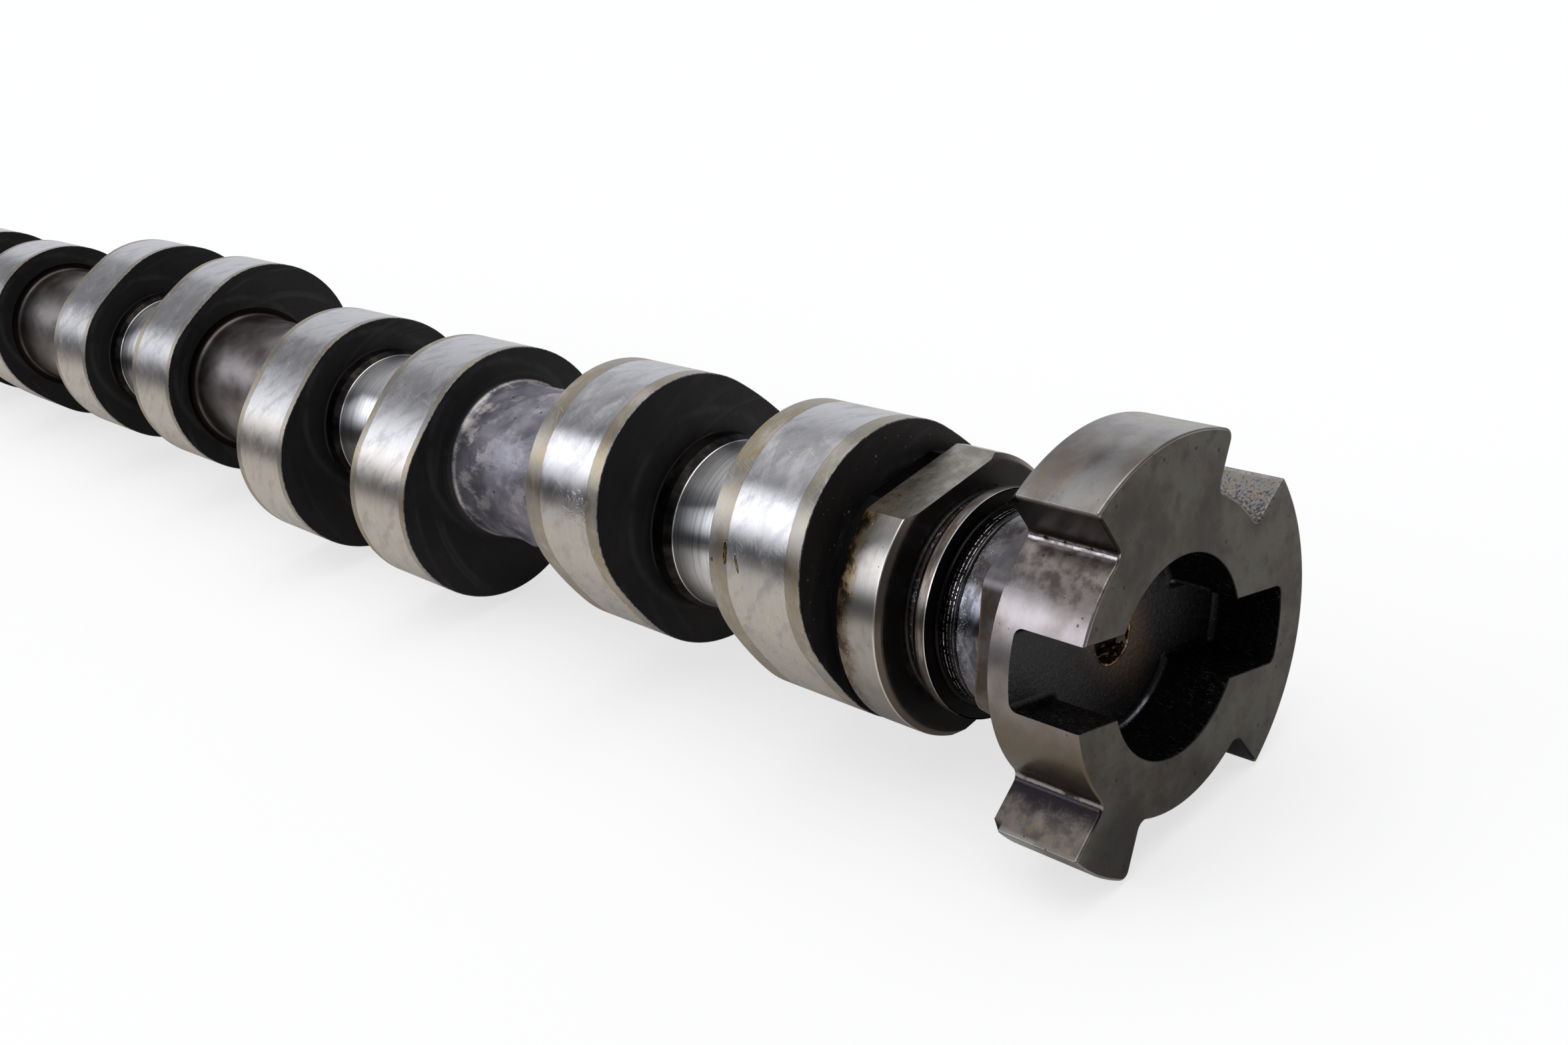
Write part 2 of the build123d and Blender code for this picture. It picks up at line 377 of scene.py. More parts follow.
# Collar with its two flats
def cut_circle(radius, middle):
    """One round side of a circle that both flats cut, and the flat that faces the middle angle."""
    beta = math.degrees(math.acos(min(1, FLAT_DISTANCE / radius)))
    reach = math.sqrt(max(0, radius**2 - FLAT_DISTANCE**2))
    out, way = polar(1, middle), polar(1, middle + 90)
    flat = out * FLAT_DISTANCE + way * np.linspace(-reach, reach, 20)[:, None]
    return arc(radius, middle + beta, middle + 180 - beta, 110), (flat, np.tile(out, (20, 1)))


def add_collar(skin):
    strip = np.concatenate(rounded([
        (COLLAR_BACK, RECESS_R), (COLLAR_BACK, COLLAR_R, 0.15),
        (COLLAR_FRONT - COLLAR_CHAMFER, COLLAR_R, 0.2), (COLLAR_FRONT, COLLAR_R - COLLAR_CHAMFER, 0.15),
        (COLLAR_FRONT, GROOVE_R + 1),
    ], 4))
    # the profile again, with rows about COLLAR_STEP high where the flats cut it
    fine = [strip[0]]
    for row in strip[1:]:
        pieces = max(1, int(abs(row[1] - fine[-1][1]) / COLLAR_STEP))
        before = fine[-1]
        fine += [before + (row - before) * k / pieces for k in range(1, pieces + 1)]
    high = [row for row in fine if row[1] >= COLLAR_R - COLLAR_CHAMFER - 0.01]
    for middle in (LIE + FLAT_ANGLE, LIE + FLAT_ANGLE + 180):
        loft(skin, [ring(cut_circle(r, middle)[0], x, nx, nr) for x, r, nx, nr in fine], "collar", False)
        loft(skin, [ring(cut_circle(r, middle)[1], x) for x, r, _, _ in high], "flat", False)
        # recess between the collar and the cam, which the flat cuts too
        for side, slot in zip(cut_circle(RECESS_R, middle), ("groove", "flat")):
            loft(skin, [ring(side, x) for x in (CAMS_FRONT, COLLAR_BACK)], slot, False)


# Flange, drawn with its slot along angle zero
def vane_sides(inset, window):
    """The flange's outer outline, from one side of the slot's window round to the other."""
    root, top = ROOT_R - inset, VANE_R - inset
    gap = math.degrees(math.asin(window / root))
    spans = sorted(((a - SLOT_ANGLE - 180) % 360, (b - a), ra, rb) for a, ra, b, rb in VANES)
    parts, roundings, at = [], [], -180 + gap
    for start, width, first, last in spans:
        a, b = start - 180, start + width - 180
        lean_root, lean_top = (math.degrees(math.asin(inset / r)) for r in (root, top))
        parts.append(arc(root, at, a + lean_root, 40))
        parts.append(line(polar(root, a + lean_root), polar(top, a + lean_top), 6))
        parts.append(arc(top, a + lean_top, b - lean_top, 60))
        parts.append(line(polar(top, b - lean_top), polar(root, b - lean_root), 6))
        small = [max(size - inset, 0.05) for size in (first, last)]
        roundings += [ROOT_ROUNDING + inset, small[0], small[1], ROOT_ROUNDING + inset]
        at = b - lean_root
    parts.append(arc(root, at, 180 - gap, 40))
    return chained(parts, roundings + [0], closed=False)


def recess_sides(inset, root=ROOT_R):
    """The walls of pocket and slot, from the window's upper side round to its lower side."""
    half, pocket, reach = SLOT_HALF - inset, POCKET_R - inset, SLOT_REACH - inset
    meet = math.degrees(math.asin(half / pocket))
    rim = -math.sqrt(root**2 - half**2)
    tip = math.degrees(math.asin(half / reach))
    near = pocket * math.cos(math.radians(meet))
    far = math.sqrt(reach**2 - half**2)
    walls = [
        line((rim, half), (-near, half), 8),
        arc(pocket, 180 - meet, meet, 90),
        line((near, half), (far, half), 8),
        arc(reach, tip, -tip, 20),
        line((far, -half), (near, -half), 8),
        arc(pocket, -meet, meet - 180, 90),
        line((-near, -half), (rim, -half), 8),
    ]
    inward = {1, 3, 5}
    walls = [(p, -n if i in inward else n) for i, (p, n) in enumerate(walls)]
    corner, end = 0.2 + inset, max(SLOT_ROUNDING - inset, 0.1)
    return chained(walls, [corner, corner, end, end, corner, corner, 0], closed=False)


def add_front_wall(skin):
    """Outer wall beside the recess with its front edge rounded. Returns the points of that edge."""
    rows = [ring(vane_sides(0, SLOT_HALF), FLOOR, angle=FLANGE_TURN)]
    for inset, gap, along, across in edge(FRONT_ROUNDING, 4):
        lift = 1 - min(gap / RECESS_EDGE, 1)
        window = SLOT_HALF + RECESS_EDGE * (1 - math.sqrt(1 - lift**2))
        rows.append(ring(vane_sides(inset, window), -gap, along, across, 0, FLANGE_TURN))
    loft(skin, rows, "outer", False)
    return rows[-1][0]


def add_back_wall(skin):
    """Outer wall behind the recess, with the vanes' back edge chamfered, and the flange's back."""
    points, normals = vane_sides(0, SLOT_HALF)
    bridge = arc(ROOT_R, 180 - WINDOW_GAP, 180 + WINDOW_GAP, 24)
    whole = np.concatenate([points, bridge[0][1:-1]]), np.concatenate([normals, bridge[1][1:-1]])
    radius = np.linalg.norm(whole[0], axis=1)
    back = whole[0] * (np.minimum(radius, VANE_R - VANE_BACK_CHAMFER) / radius)[:, None]
    upper = ring(whole, FLANGE_BACK + VANE_BACK_CHAMFER, angle=FLANGE_TURN)
    loft(skin, [upper, ring(whole, FLOOR, angle=FLANGE_TURN)], "outer")
    tilted = upper[1].copy()
    tilted[:, 0] = np.where(radius > VANE_R - 0.3, -1.0, 0.0)
    lower = ring((back, whole[1]), FLANGE_BACK, angle=FLANGE_TURN)
    loft(skin, [(lower[0], tilted), (upper[0], tilted)], "outer")
    skin.cap(lower[0], (-1, 0, 0), "back")


def add_recess(skin):
    """Walls of the recess with their front edge, and the rounding down to the floor. Returns their rows."""
    rows = []
    for gap in (0.0, 0.02, 0.06, 0.15, 0.22, FRONT_ROUNDING):
        lift = 1 - min(gap / RECESS_EDGE, 1)
        along, across = lift, math.sqrt(1 - lift**2)
        outside = math.sqrt(FRONT_ROUNDING**2 - (FRONT_ROUNDING - gap)**2)
        sides = recess_sides(-RECESS_EDGE * (1 - across), ROOT_R - FRONT_ROUNDING + outside)
        rows.append(ring(sides, -gap, along, across, 0, FLANGE_TURN))
    walls = len(rows)
    for inset, rise, along, across in edge(FLOOR_ROUNDING, 5):
        rows.append(ring(recess_sides(inset), FLOOR + rise, along, across, 0, FLANGE_TURN))
    loft(skin, rows, "pocket", False)
    # what the floor rounding leaves open beside the window, on the flange's rim
    for last, side in ((0, 180 - WINDOW_GAP), (-1, 180 + WINDOW_GAP)):
        y, z = spun(polar(ROOT_R, side), FLANGE_TURN)
        fan = np.array([[(points[last][0], y, z), points[last]] for points, _ in rows[walls:]])
        skin.loft(fan, np.tile((0, y, z), (len(fan), 2, 1)), "outer", False)
    return rows


def add_floor(skin, foot):
    """Floor of the recess, from the foot of its walls to the centre hole, and the hole."""
    floor_gap = math.degrees(math.asin((SLOT_HALF - FLOOR_ROUNDING) / ROOT_R))
    rim = ring(arc(ROOT_R, 180 + floor_gap, 180 - floor_gap, 16), FLOOR, 1, 0, 0, FLANGE_TURN)[0]
    border = np.concatenate([foot, rim[1:-1]])
    flat, ahead = border[:, 1:], np.tile([1.0, 0, 0], (len(border), 1))
    rows = []
    for share in np.linspace(0, 1, 5):
        size = (1 - share) + share * (HOLE_R + 0.2) / np.linalg.norm(flat, axis=1)
        rows.append((np.column_stack([border[:, 0], flat * size[:, None]]), ahead))
    loft(skin, rows, "floor")
    point = HOLE_R / math.tan(math.radians(DRILL_ANGLE / 2))
    bottom = FLOOR - HOLE_DEPTH
    corners = (FLOOR, HOLE_R + 0.3), (FLOOR, HOLE_R, 0.2), (bottom, HOLE_R), (bottom - point, 0.01)
    turned(skin, corners, "hole", 64)


def add_flange(skin):
    front_edge = add_front_wall(skin)
    add_back_wall(skin)
    rows = add_recess(skin)
    skin.cap(np.concatenate([front_edge, rows[0][0][1:-1]]), (1, 0, 0), "face")
    add_floor(skin, rows[-1][0])


def block_outline():
    """Six flats, three and their opposites, with rounded corners where two of them meet."""
    flats = [(angle + turn, distance) for turn in (0, 180) for angle, distance in BLOCK_FLATS]
    corners = [np.linalg.solve([polar(1, a), polar(1, b)], (near, far))
               for (a, near), (b, far) in zip(flats, flats[1:] + flats[:1])]
    return chained([line(corners[k - 1], corners[k], 4) for k in range(6)], [BLOCK_ROUNDING] * 6, 12)


def add_block(skin):
    outline = block_outline()
    rows = [ring(outline, NECK_FRONT + gap, -along, across, inset, LIE)
            for inset, gap, along, across in reversed(list(edge(0.15)))]
    skin.cap(rows[0][0], (-1, 0, 0), "block")
    loft(skin, rows + [ring(outline, FLANGE_BACK, angle=LIE)], "block")


def add_drive_end(skin):
    journal_back = CAMS_BACK - END_CAST - END_JOURNAL
    end = journal_back - END_NOSE
    journal_front = CAMS_BACK - END_CAST
    add_cast(skin, journal_front, CAMS_BACK, "cast")
    turned(skin, [
        (end, THREAD_R + 1), (end, END_NOSE_R - 1.2, 0.2), (end + 1.2, END_NOSE_R, 0.3),
        (journal_back, END_NOSE_R, 0.4), (journal_back, END_JOURNAL_R - 0.8, 0.2),
        (journal_back + 0.8, END_JOURNAL_R, 0.2), (journal_front - 0.8, END_JOURNAL_R, 0.2),
        (journal_front, END_JOURNAL_R - 0.8, 0.2), (journal_front, CAST_R),
    ], "journal", steps=3)
    turned(skin, [(end + 1, THREAD_R), (end, THREAD_R + 1)], "hole", 96)
    # thread, as one helix
    turns = int(THREAD_DEPTH / THREAD_PITCH)
    steps = np.arange(0, turns, 0.25)
    wave = np.abs((steps * 2) % 2 - 1)
    angle = np.linspace(0, 2 * math.pi, 65)
    x = end + 1 + steps[:, None] * THREAD_PITCH + angle * (THREAD_PITCH / (2 * math.pi))
    r = THREAD_R + 0.75 * wave[:, None]
    slope = np.gradient(r, steps * THREAD_PITCH, axis=0)
    skin.loft(around(x, r, angle), around(slope, -1, angle), "hole", False)
    deep = end + 1 + turns * THREAD_PITCH
    turned(skin, [(deep, THREAD_R + 0.8), (deep, 0.01)], "hole", 64)


# Names of the surfaces, in the order of their looks
SLOTS = ["rim", "edge", "side", "journal", "cast", "forged", "collar", "flat", "groove", "neck", "block",
         "outer", "face", "back", "pocket", "floor", "hole"]


def camshaft():
    skin = Skin()
    for cylinder, nose in enumerate(NOSE_ANGLES):
        front = CAMS_FRONT - cylinder * CYLINDER_PITCH
        second = front - CAM_PITCH
        add_cam(skin, front, LIE + nose, RECESS_R if cylinder == 0 else CAST_R, HUB_R)
        add_cam(skin, second, LIE + nose, HUB_R, CAST_R)
        add_bearing(skin, second, front - CAM_WIDTH)
        before = front + CYLINDER_PITCH - CAM_PITCH - CAM_WIDTH
        if cylinder == 1:
            add_cast(skin, front, before, "forged", LUMP_DEPTH)
        elif cylinder:
            add_cast(skin, front, before, "cast")
    add_collar(skin)
    turned(skin, [(COLLAR_FRONT, GROOVE_R + 1), (COLLAR_FRONT, GROOVE_R, 0.4), (RING_BACK, GROOVE_R, 0.4),
                  (RING_BACK + RING_SLOPE, RING_R, 0.9), (RING_FRONT, RING_R, 0.12)], "groove")
    turned(skin, [(RING_FRONT, RING_R - 0.15), (RING_FRONT, NECK_R, 0.5), (NECK_FRONT, NECK_R)], "neck")
    add_block(skin)
    add_flange(skin)
    add_drive_end(skin)
    skin.slots = [SLOTS.index(s) for s in skin.slots]
    return skin


# Shader code
def sum_node(operation):
    """A method that makes a maths node of a number, and of another where the operation takes two."""
    def make(self, other=0.0):
        return self.nodes.math(operation, self, other)
    return make


class Number:
    """A number in a shader, whose sums and products are nodes too."""

    __add__, __sub__, __mul__ = sum_node("ADD"), sum_node("SUBTRACT"), sum_node("MULTIPLY")
    __mod__, __abs__ = sum_node("FLOORED_MODULO"), sum_node("ABSOLUTE")
    most, root = sum_node("MAXIMUM"), sum_node("SQRT")

    def __init__(self, nodes, socket):
        self.nodes, self.socket = nodes, socket

    def __rsub__(self, other):
        return self.nodes.math("SUBTRACT", other, self)

    def step(self, zero, one):
        """Zero at one end, one at the other, with a soft step between."""
        inputs = {"Value": self, "From Min": min(zero, one), "From Max": max(zero, one),
                  "To Min": float(zero > one), "To Max": float(one > zero)}
        return Number(self.nodes, self.nodes.node("MapRange", inputs, interpolation_type="SMOOTHSTEP"))


class Nodes:
    """A node tree that is written as formulas."""

    def __init__(self, tree):
        self.tree = tree

    def put(self, socket, value):
        if isinstance(value, Number):
            value = value.socket
        if isinstance(value, bpy.types.NodeSocket):
            self.tree.links.new(value, socket)
        elif socket.type == "RGBA":
            socket.default_value = (*value, 1)
        else:
            socket.default_value = value

    def node(self, kind, inputs=(), output=0, **settings):
        node = self.tree.nodes.new("ShaderNode" + kind)
        for key, value in settings.items():
            setattr(node, key, value)
        for key, value in dict(inputs).items():
            self.put(node.inputs[key], value)
        return node.outputs[output]

    def math(self, operation, a, b=0.0):
        return Number(self, self.node("Math", {0: a, 1: b}, operation=operation))

    def blend(self, factor, a, b):
        return Number(self, self.node("Mix", {0: factor, 2: a, 3: b}, data_type="FLOAT"))

    def mix(self, factor, a, b):
        return self.node("Mix", {0: factor, 6: a, 7: b}, output=2, data_type="RGBA")

    def split(self, vector):
        node = self.node("SeparateXYZ", {"Vector": vector}).node
        return [Number(self, node.outputs[k]) for k in range(3)]

    def joined(self, x, y, z):
        return self.node("CombineXYZ", {0: x, 1: y, 2: z})


class Look(Nodes):
    """A procedural material. Its places are in millimetres, along the shaft, round it and out from it."""

    def __init__(self, name):
        self.material = bpy.data.materials.new(name)
        self.material.use_nodes = True
        super().__init__(self.material.node_tree)
        self.shader = self.tree.nodes["Principled BSDF"]
        place = self.node("TexCoord", output="Object")
        self.at = self.node("VectorMath", {0: place, "Scale": 1 / MM}, operation="SCALE")
        self.x, self.y, self.z = self.split(self.at)
        across = self.joined(0.0, self.y, self.z)
        self.out = Number(self, self.node("VectorMath", {0: across}, "Value", operation="LENGTH"))
        self.round = self.math("ARCTAN2", self.y, self.z) * ROUND_R

    def noise(self, along, around, detail, seed, slant=0.0):
        """Noise from 0 to 1 on the unrolled shaft, with so many waves to a millimetre along and round it."""
        c, s = math.cos(math.radians(slant)), math.sin(math.radians(slant))
        lengthways, crossways = self.x * c + self.round * s, self.round * c - self.x * s
        return self.clouds(lengthways * along, crossways * around, seed, detail)

    def grain(self, waves, detail, seed, along=0.0):
        """Noise from 0 to 1 in space, the same all along the shaft unless it has waves that way too."""
        return self.clouds(self.x * along, self.y * waves + seed, self.z * waves, detail)

    def clouds(self, x, y, z, detail):
        inputs = {"Vector": self.joined(x, y, z), "Scale": 1.0, "Detail": detail, "Roughness": 0.6}
        return Number(self, self.node("TexNoise", inputs))

    def streaks(self, length, width, amount, slant, seed):
        """Thin scratches at a slant, over a share of the surface."""
        ridge = self.noise(1 / width, 1 / length, 1.0, seed, slant)
        return ridge.step(1 - amount, 1 - amount + 0.06)

    def spots(self, pitch, size, chance, seed=0.0, across=False):
        """Round spots of one size or less, about a pitch apart, on any face or on those across the shaft."""
        place = self.joined(self.y, self.z, 0.0) if across else self.at
        where = self.node("VectorMath", {0: place, 1: (seed, seed, seed)}, operation="ADD")
        cells = self.node("TexVoronoi", {"Vector": where, "Scale": 1 / pitch},
                          voronoi_dimensions="2D" if across else "3D").node
        rank, _, _ = self.split(cells.outputs["Color"])
        dot = Number(self, cells.outputs["Distance"]).step(size / pitch, 0.6 * size / pitch)
        return dot * rank.step(chance, chance - 0.01)

    def drop(self, x, around, long, high, seed, slant=0.0, soft=0.25):
        """A ragged blot with its middle at a place on the shaft."""
        ragged = self.noise(2.5, 2.5, 2.0, seed) * 0.9
        down = self.round - around
        u, v = (down * slant + self.x - x) * (1 / long), down * (1 / high)
        reach = (u * u + v * v).root() + ragged
        return reach.step(1.4, 1.4 - soft)

    def away(self, y, z):
        """Distance from a point across the shaft."""
        u, v = self.y - y, self.z - z
        return (u * u + v * v).root()

    def paint(self, factor, color):
        """Lays a colour over the last one, as thick as the factor says."""
        self.color = self.mix(factor, self.color, color)

    def finish(self, roughness, metallic=1.0, height=None, depth=0.01, turned=0.0):
        sockets = self.shader.inputs
        self.put(sockets["Base Color"], self.color)
        self.put(sockets["Metallic"], metallic)
        self.put(sockets["Roughness"], roughness)
        if height is not None:
            inputs = {"Height": height, "Distance": depth * MM, "Strength": 1.0}
            self.put(sockets["Normal"], self.node("Bump", inputs))
        if turned:
            self.put(sockets["Anisotropic"], turned)
            self.put(sockets["Anisotropic Rotation"], 0.25)
            self.put(sockets["Tangent"], self.node("Tangent", direction_type="RADIAL", axis="X"))
        return self.material


def grinding(look, seed=0.0):
    """Fine lines round the shaft, as a grinding wheel leaves them."""
    return look.noise(7.0, 0.06, 3.0, seed) * 0.7 + look.noise(1.3, 0.03, 1.0, seed + 5) * 0.3


# Looks of the shaft
def rim_scratches(look):
    """Scratches at three slants, in patches."""
    marks = look.streaks(5, 0.08, 0.37, 25, 31) + look.streaks(3, 0.07, 0.35, -35, 32)
    marks = marks + look.streaks(6, 0.09, 0.36, 70, 33)
    return marks * look.noise(0.3, 0.3, 2, 35).step(0.42, 0.6)


def rim_look():
    """Ground rims of the cams, with brown bands at both sides, wear, scratches, stains, one oil streak, and a
    painted warm reflection of the floor on their lower side.
    """
    look = Look("ground_cam")
    since = (CAMS_FRONT + 0.01 - look.x) % CYLINDER_PITCH
    across = since - since.step(27, 27.1) * CAM_PITCH
    wander = look.noise(0.05, 0.2, 1, 3) * 0.5 + look.noise(0.2, 0.9, 3, 36) * 0.3
    near = look.x.step(CAMS_FRONT - CYLINDER_PITCH + 20, CAMS_FRONT - CYLINDER_PITCH + 21)
    front_line = across - wander - look.blend(near, 0.9, 2)
    back_line = across + wander - look.blend(near, 14.9, 13.2)
    band = front_line.step(0.12, -0.12) + back_line.step(-0.12, 0.12)
    line = abs(front_line).step(0.2, 0.02) + abs(back_line).step(0.2, 0.02)
    lines = grinding(look, 2)
    worn = look.noise(0.35, 0.22, 4, 11).step(0.42, 0.7) * look.blend(near, 0.45, 1)
    scratches = rim_scratches(look)
    stain = look.noise(0.22, 0.3, 3, 44).step(0.62, 0.74)
    oil, core = (look.drop(*streak).most(look.drop(*droplet)) for streak, droplet in (OIL, OIL_CORE))
    # painted reflection: the rims' lower side is tinted warm beige, as the floor would reflect it
    low = (look.round + stain * 2).step(-19, -24)
    old = look.noise(0.4, 0.09, 3, 37).step(0.42, 0.6)
    bead = look.drop(*BEAD)
    pits = look.drop(*PITTED) * look.noise(1.2, 1.2, 2, 12).step(0.5, 0.6)
    look.color = look.mix(low, (0.52, 0.515, 0.515), (0.53, 0.49, 0.445))
    look.paint(band, look.mix(old, (0.3, 0.27, 0.215), (0.32, 0.25, 0.135)))
    look.paint(worn * 0.35, (0.64, 0.62, 0.64))
    look.paint(lines.step(0.35, 0.7) * 0.3, (0.42, 0.4, 0.37))
    look.paint(line * 0.55, (0.22, 0.2, 0.16))
    look.paint(stain * 0.35, (0.36, 0.32, 0.26))
    smudge = look.noise(0.22, 0.5, 4, 38, slant=40).step(0.48, 0.66)
    look.paint(smudge * 0.45, (0.27, 0.265, 0.275))
    # the scratches on the lower side are tinted golden, also painted reflection
    gouges = look.mix(low, (0.8, 0.78, 0.76), (0.84, 0.7, 0.5))
    look.paint(scratches * (low * 0.35 + 0.35), gouges)
    look.paint(oil, (0.045, 0.03, 0.012))
    look.paint(core, (0.42, 0.28, 0.09))
    look.paint(bead, (0.1, 0.09, 0.08))
    roughness = lines * 0.14 + worn * 0.12 + band * 0.1 + scratches * 0.1 + low * 0.05 + 0.14
    roughness = look.blend(oil, roughness, 0.08)
    height = lines * 0.5 - scratches * 0.2 + pits * 3 + oil * 6 - line * 0.8
    return look.finish(roughness, 1, height, 0.006, 0.7)


def edge_look():
    look = Look("worn_edge")
    chips = look.noise(3, 1.6, 3, 4).step(0.42, 0.6)
    look.color = look.mix(chips, (0.26, 0.27, 0.285), (0.09, 0.09, 0.09))
    return look.finish(chips * 0.15 + 0.3, 0.9)


def side_look():
    """Black cam sides with faint turning marks about points off the axis, a few specks on the first, and a
    painted highlight at the foot of the hubs.
    """
    look = Look("black_cam_side")
    place = look.joined(look.away(*RINGS_AT) * 0.75, look.x * 0.05, 0)
    rings = Number(look, look.node("TexNoise", {"Vector": place, "Scale": 1, "Detail": 3}))
    mark = rings.step(0.5, 0.7) * look.grain(0.1, 2, 2).step(0.38, 0.65)
    grit = look.grain(2, 3, 1, 2)
    off = look.away(*ARC_AT) - ARC_MARK_R + look.grain(0.15, 2, 9) * 0.8
    arc_mark = abs(off).step(0.9, 0.05) * look.grain(0.22, 2, 10).step(0.34, 0.56)
    # painted highlight: a thin light arc on the cam sides at the foot of the hubs, on one side only
    root = abs(look.out - HUB_R - 0.25).step(0.2, 0.05) * (look.z - look.y).step(9, 13)
    first = look.x.step(CAMS_FRONT - 2, CAMS_FRONT - 1)
    few = look.grain(0.14, 2, 11).step(0.46, 0.58)
    specks = (look.spots(1.1, 0.11, 0.3, 3, True) + look.spots(2.9, 0.2, 0.25, 8, True)) * first * few
    cloud = look.grain(0.25, 4, 6).step(0.42, 0.7)
    look.color = look.mix(mark, (0.0058, 0.0048, 0.005), (0.024, 0.022, 0.024))
    look.paint(cloud * 0.5, (0.015, 0.012, 0.012))
    look.paint(arc_mark * 0.8, (0.026, 0.025, 0.029))
    look.paint(root * 0.7, (0.075, 0.074, 0.082))
    look.paint(specks * 0.8, (0.22, 0.21, 0.21))
    roughness = grit * 0.2 + 0.42
    height = grit * 0.7 + rings * 0.6 + specks * 0.8
    return look.finish(roughness, 0.35, height, 0.02)


def journal_look():
    look = Look("ground_journal")
    lines = grinding(look, 21)
    rings = look.noise(2.2, 0.02, 2, 23).step(0.5, 0.62)
    tint = look.noise(0.3, 0.12, 2, 24).step(0.45, 0.7)
    # painted shade: the hubs beside the cams are near-black, for the ring of shade between cam face and
    # journal
    shaded_hub = look.out.step(JOURNAL_R + 0.02, JOURNAL_R + 0.1)
    shaded_hub = shaded_hub * look.out.step(END_JOURNAL_R - 1, HUB_R + 0.5)
    tone = look.noise(0.35, 0.3, 2, 25)
    look.color = look.mix(lines * 0.6, (0.93, 0.93, 0.95), (0.58, 0.575, 0.58))
    # painted shade: darker towards the bottom
    look.paint(look.z.step(0, -9) * 0.5, (0.42, 0.38, 0.34))
    look.paint(rings * 0.35, (0.28, 0.26, 0.24))
    look.paint(tint * 0.3, (0.44, 0.4, 0.34))
    look.paint(shaded_hub, look.mix(tone.step(0.4, 0.65), (0.01, 0.009, 0.009), (0.03, 0.026, 0.023)))
    roughness = lines * 0.05 + tint * 0.03 + shaded_hub * 0.08 + 0.18
    return look.finish(roughness, 1, lines, 0.002, 0.975)


def cast_look():
    look = Look("smooth_casting")
    patches = look.noise(0.12, 0.1, 3, 51)
    grain = look.noise(1.1, 1.1, 3, 52)
    look.color = look.mix(patches.step(0.35, 0.65), (0.15, 0.125, 0.115), (0.25, 0.23, 0.225))
    look.paint(grain.step(0.58, 0.75) * 0.4, (0.08, 0.065, 0.055))
    # painted shade: the flares into the cams are near-black, where their rounding would catch light
    look.paint(look.out.step(CAST_R + 0.02, CAST_R + 0.6), (0.01, 0.007, 0.006))
    roughness = patches * 0.2 + 0.26
    return look.finish(roughness, 1, grain * 0.5 + patches * 2, 0.03)


def forged_look():
    look = Look("hammered_casting")
    patches = look.noise(0.18, 0.14, 3, 61)
    swirl = look.noise(0.22, 0.5, 2, 62, slant=35)
    grain = look.noise(1.3, 1.3, 4, 64)
    pits = look.spots(1.9, 0.32, 0.35, 5) + look.spots(0.9, 0.13, 0.3, 9)
    wash = (look.noise(0.26, 0.18, 4, 65) + grain * 0.3).step(0.62, 0.8)
    # pale blotches all over, with painted highlights that grow heavier towards the left flare
    left = (look.x + patches * 6 - (CAMS_FRONT - CYLINDER_PITCH)).step(12.5, 5)
    look.color = look.mix(patches.step(0.35, 0.65), (0.16, 0.155, 0.18), (0.27, 0.26, 0.3))
    look.paint(wash * 0.3 + wash * left * 0.6, (0.66, 0.6, 0.6))
    look.paint(grain.step(0.6, 0.76) * 0.5, (0.1, 0.09, 0.095))
    look.paint(pits * 0.8, (0.03, 0.028, 0.03))
    # painted highlight: a broken light ring where the flare starts; painted shade: the rest of the flare
    # near-black
    flare = look.out.step(CAST_R + 0.12, CAST_R + 0.45)
    rim = look.out.step(CAST_R + 0.01, CAST_R + 0.1) * (patches + grain * 0.4).step(0.62, 0.74)
    look.paint(rim * 0.7, (0.64, 0.58, 0.57))
    look.paint(flare, (0.014, 0.013, 0.013))
    roughness = patches * 0.16 + wash * 0.1 + 0.3
    height = swirl * 1.2 + patches * 2 + grain * 0.5 + wash * 0.4 - pits
    return look.finish(roughness, look.blend(flare, 0.6, 0.5), height, 0.035)


